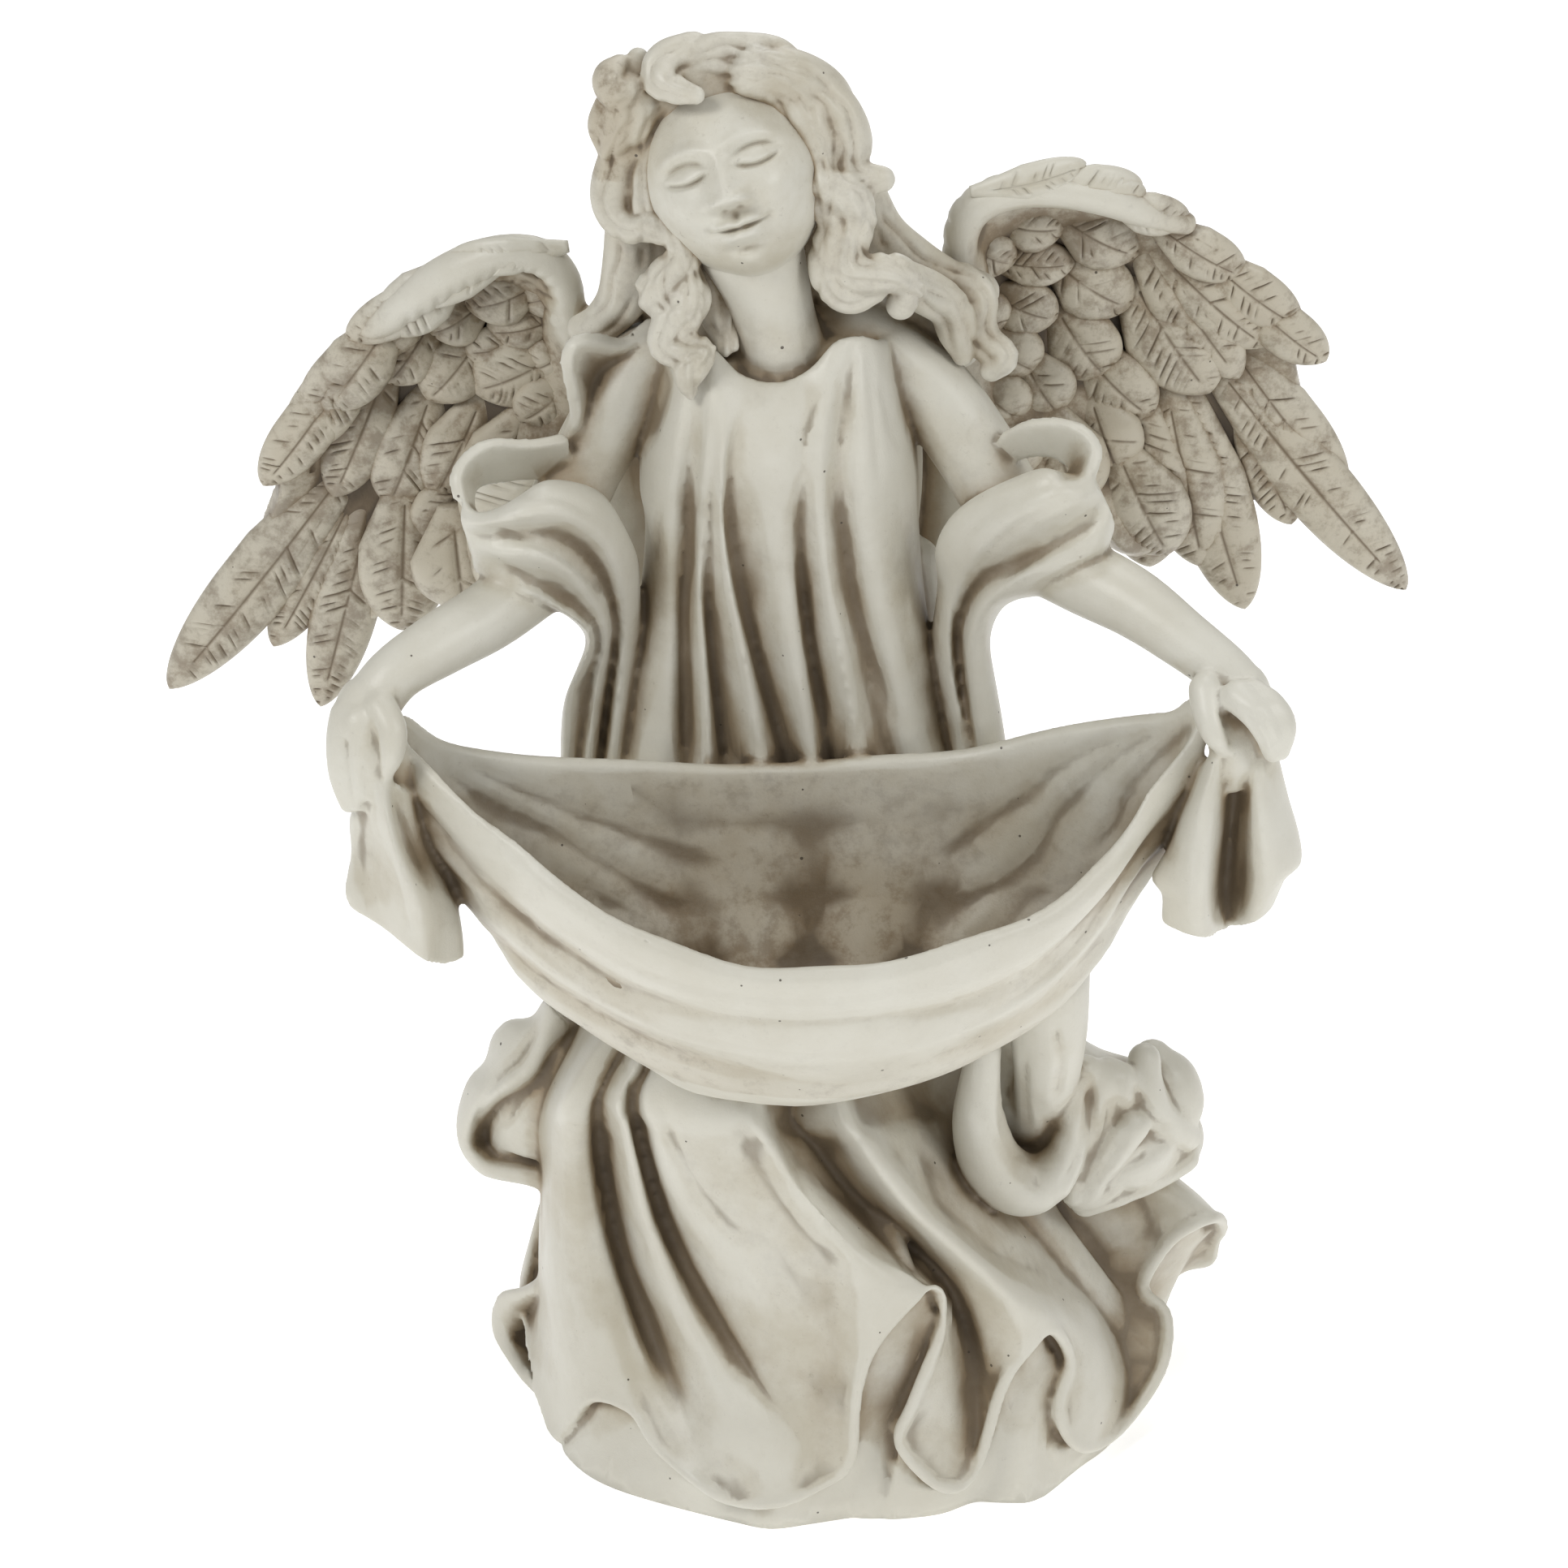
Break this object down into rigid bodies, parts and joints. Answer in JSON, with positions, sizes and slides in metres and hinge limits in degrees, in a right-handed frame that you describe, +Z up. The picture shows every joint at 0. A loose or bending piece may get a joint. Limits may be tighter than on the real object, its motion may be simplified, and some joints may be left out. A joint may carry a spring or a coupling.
{
  "type": "angel statue",
  "caption": "Winged angel garden statue in cast stone, holding out her gathered skirt as a wide open basin, standing on her flared wavy hem",
  "frame": {"origin": "on the ground under the figure's middle: z = 0 is the flat underside, and y = 0 is the body's middle plane", "axes": "+Z up, the figure faces -Y, +X to the viewer's right (the figure's left)"},
  "size_m": [0.473, 0.2643, 0.5674],
  "materials": {
    "cast_stone": "cream cast stone with a brown antique wash in the recesses, semi-matt"
  },
  "bodies": {
    "root": {"angel_statue": "cast_stone"}
  },
  "joints": []
}
